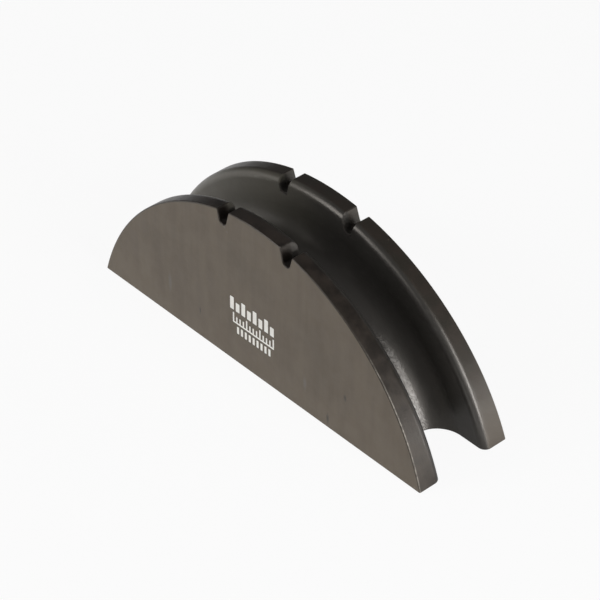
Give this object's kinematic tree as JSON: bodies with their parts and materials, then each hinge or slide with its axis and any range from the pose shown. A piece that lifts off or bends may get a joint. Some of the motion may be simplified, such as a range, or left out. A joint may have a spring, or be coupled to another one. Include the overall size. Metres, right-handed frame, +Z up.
{
  "type": "pipe bender former",
  "caption": "Half-moon former for a pipe bender: a round-bottomed groove runs over the rim between notched flanges, and the flat base has a blind socket for the ram.",
  "frame": {"origin": "middle of the flat base, below the crown", "axes": "+X along the shoe towards one tip, +Y across the shoe from flange to flange, +Z up from the base to the crown"},
  "size_m": [0.1528, 0.0364, 0.0567],
  "materials": {
    "black_casting": "satin",
    "white_marking": "matte"
  },
  "bodies": {
    "root": {"bending_former": "black_casting"}
  },
  "joints": []
}
